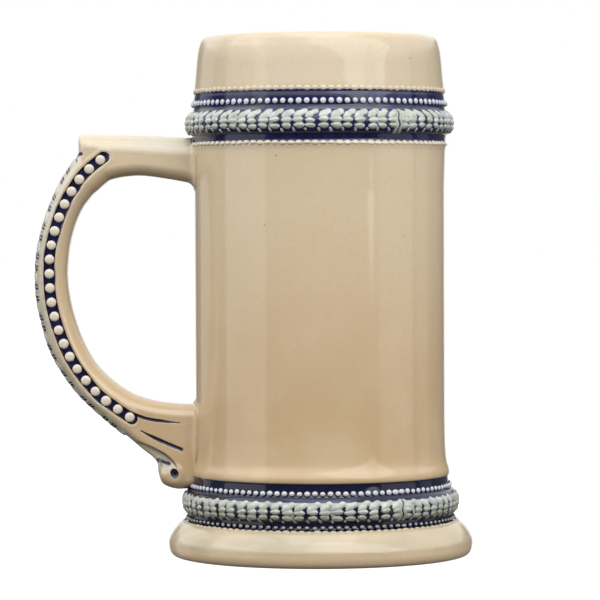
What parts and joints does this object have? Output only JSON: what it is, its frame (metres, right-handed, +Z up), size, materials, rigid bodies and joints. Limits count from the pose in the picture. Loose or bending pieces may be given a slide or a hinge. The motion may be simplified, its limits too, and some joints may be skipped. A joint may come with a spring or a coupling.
{
  "type": "beer stein",
  "caption": "Lidless glazed ceramic stein: a tall round cup with two moulded relief bands, a flared foot and a bowed side handle with a thumb platform and a scroll.",
  "frame": {"origin": "on the cup's axis, in the plane of the foot ring's face, which it stands on", "axes": "+Z up along the cup's axis, the handle on the -X side in the XZ plane"},
  "size_m": [0.1419, 0.0988, 0.168],
  "materials": {
    "cream_glaze": "glossy clear glaze over cream clay, with fine dark pinholes",
    "cobalt_glaze": "glossy dark cobalt blue, pooled in the hollows of the relief",
    "relief_glaze": "glossy pale grey-green, where thin blue is wiped off the raised relief",
    "bare_clay": "dry unglazed clay of the foot ring"
  },
  "bodies": {
    "root": {"body": "cream_glaze", "handle": "cream_glaze", "upper_slip_joint": "cream_glaze", "lower_slip_joint": "cream_glaze"}
  },
  "joints": []
}
